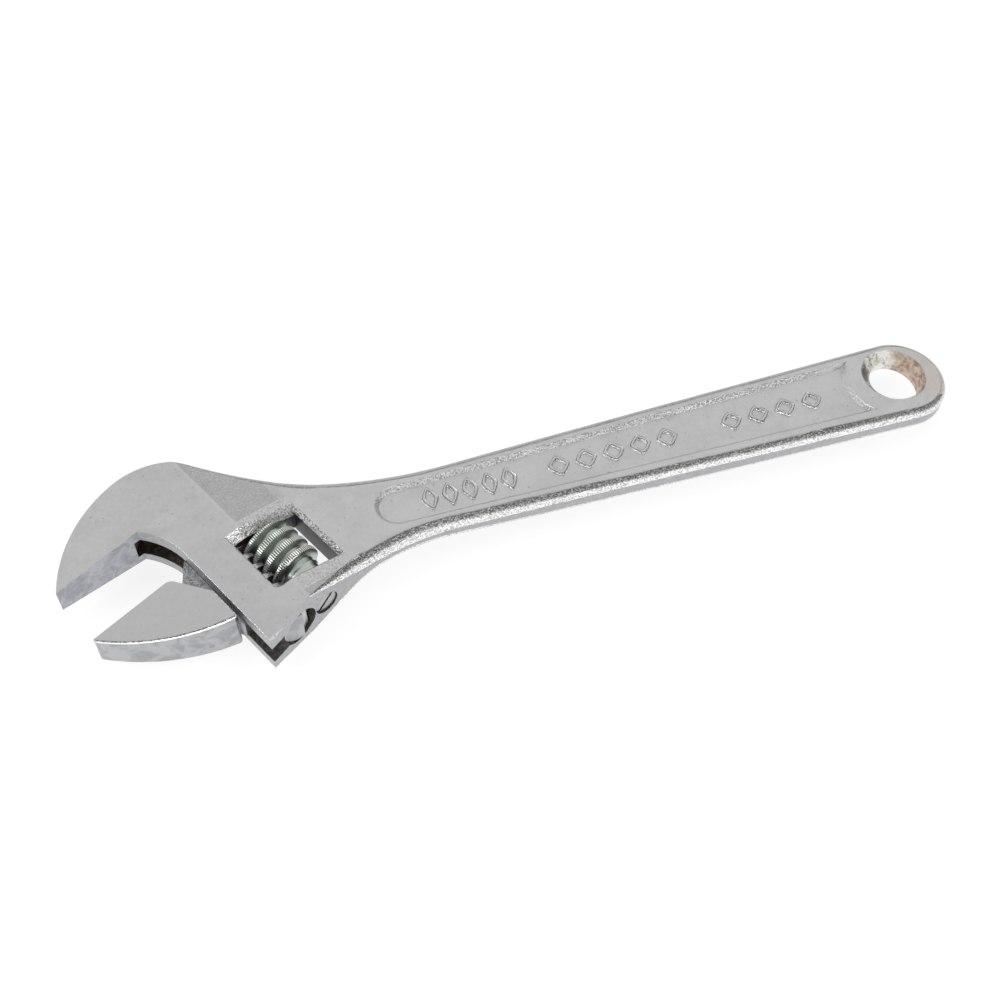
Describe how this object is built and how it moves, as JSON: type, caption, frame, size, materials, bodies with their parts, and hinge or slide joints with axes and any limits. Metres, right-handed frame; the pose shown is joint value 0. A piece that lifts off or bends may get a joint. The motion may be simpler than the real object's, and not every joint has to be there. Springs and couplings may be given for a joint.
{
  "type": "adjustable wrench",
  "caption": "Open-ended adjustable wrench: a knurled worm drives the lower jaw along a slanted head; flat tapered handle with a recessed panel and a hang hole.",
  "frame": {"origin": "centre of the hang hole, on the mid-plane of the handle", "axes": "+X along the handle from the head to the hang hole, +Z through the thickness, out of the face in which the worm is seen with the jaws opening away from the handle; the head is turned 25 degrees in the XY plane"},
  "size_m": [0.2045, 0.0486, 0.0134],
  "materials": {
    "forged_body": "satin",
    "jaw_steel": "satin",
    "worm_steel": "satin",
    "pin_steel": "satin",
    "spring_steel": "satin"
  },
  "bodies": {
    "wrench": {"wrench_body": "forged_body", "worm_pin": "pin_steel", "worm_spring": "spring_steel"},
    "jaw": {"sliding_jaw": "jaw_steel"},
    "worm": {"adjusting_worm": "worm_steel"}
  },
  "joints": [
    {"name": "jaw_slide", "type": "slide", "parent": "wrench", "child": "jaw", "axis": [0.4226, -0.9063, 0], "range_m": [-0.0136, 0.0104]},
    {"name": "worm_spin", "type": "hinge", "parent": "wrench", "child": "worm", "pos_m": [-0.14762, -0.00458, -0.0004], "axis": [0.4226, -0.9063, 0], "range_deg": [-1171, 1531]}
  ],
  "couplings": [
    {"joint": "worm_spin", "follows": "jaw_slide", "rad_per_m": -1963.5}
  ]
}
